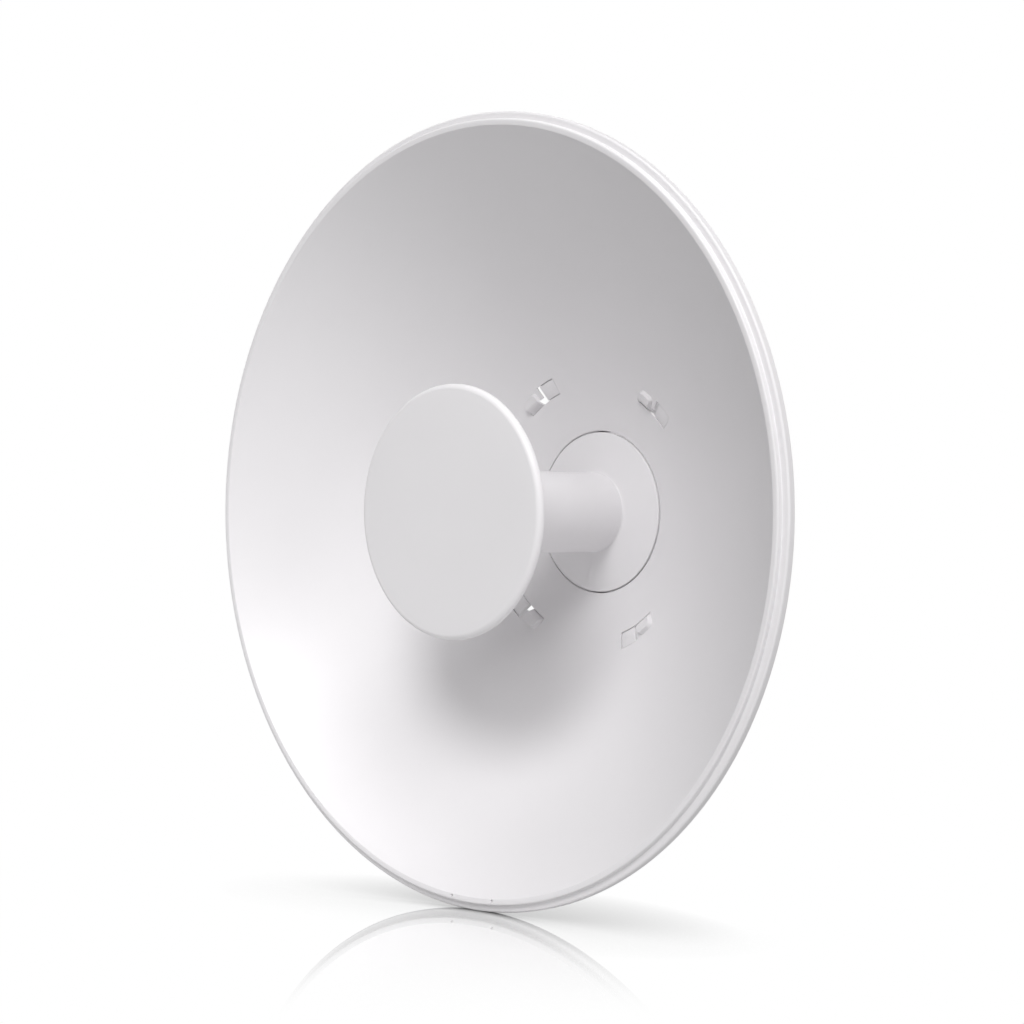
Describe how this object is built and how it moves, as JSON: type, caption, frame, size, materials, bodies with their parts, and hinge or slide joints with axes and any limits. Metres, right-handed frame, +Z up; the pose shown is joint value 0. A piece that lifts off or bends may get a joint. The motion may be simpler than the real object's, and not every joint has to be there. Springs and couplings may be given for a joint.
{
  "type": "dish antenna",
  "caption": "Round outdoor dish antenna: deep pressed reflector with a stepped rim, a central tube feed with a flat round cap, and a rear housing on a small tilt bracket.",
  "frame": {"origin": "middle of the mast plate's flat rear face", "axes": "-Y is the way the dish looks, +Y points from the mast plate into the mast or wall, +Z is up"},
  "size_m": [0.42, 0.2176, 0.42],
  "materials": {
    "white_paint": "satin white powder coat",
    "white_plastic": "fine satin",
    "grey_plastic": "fine matt",
    "zinc": "bright zinc plate"
  },
  "bodies": {
    "root": {"reflector": "white_paint", "feed_base": "white_plastic", "feed_tube": "white_plastic", "feed_cap": "white_plastic", "feed_cap_back": "white_plastic", "radio_housing": "white_plastic", "housing_cover": "white_plastic", "port_hatch": "grey_plastic", "lock_ring": "white_paint", "lock_arm_upper_left": "white_paint", "lock_arm_upper_right": "white_paint", "lock_arm_lower_left": "white_paint", "lock_arm_lower_right": "white_paint", "tilt_ear_left": "white_paint", "tilt_ear_right": "white_paint", "mast_cheek_left": "white_paint", "mast_cheek_right": "white_paint", "mast_plate": "white_paint", "pivot_bolt": "zinc", "pivot_nut": "zinc", "pivot_washer_left": "zinc", "pivot_washer_right": "zinc", "lock_bolt": "zinc", "lock_nut": "zinc", "lock_washer_left": "zinc", "lock_washer_right": "zinc"}
  },
  "joints": []
}
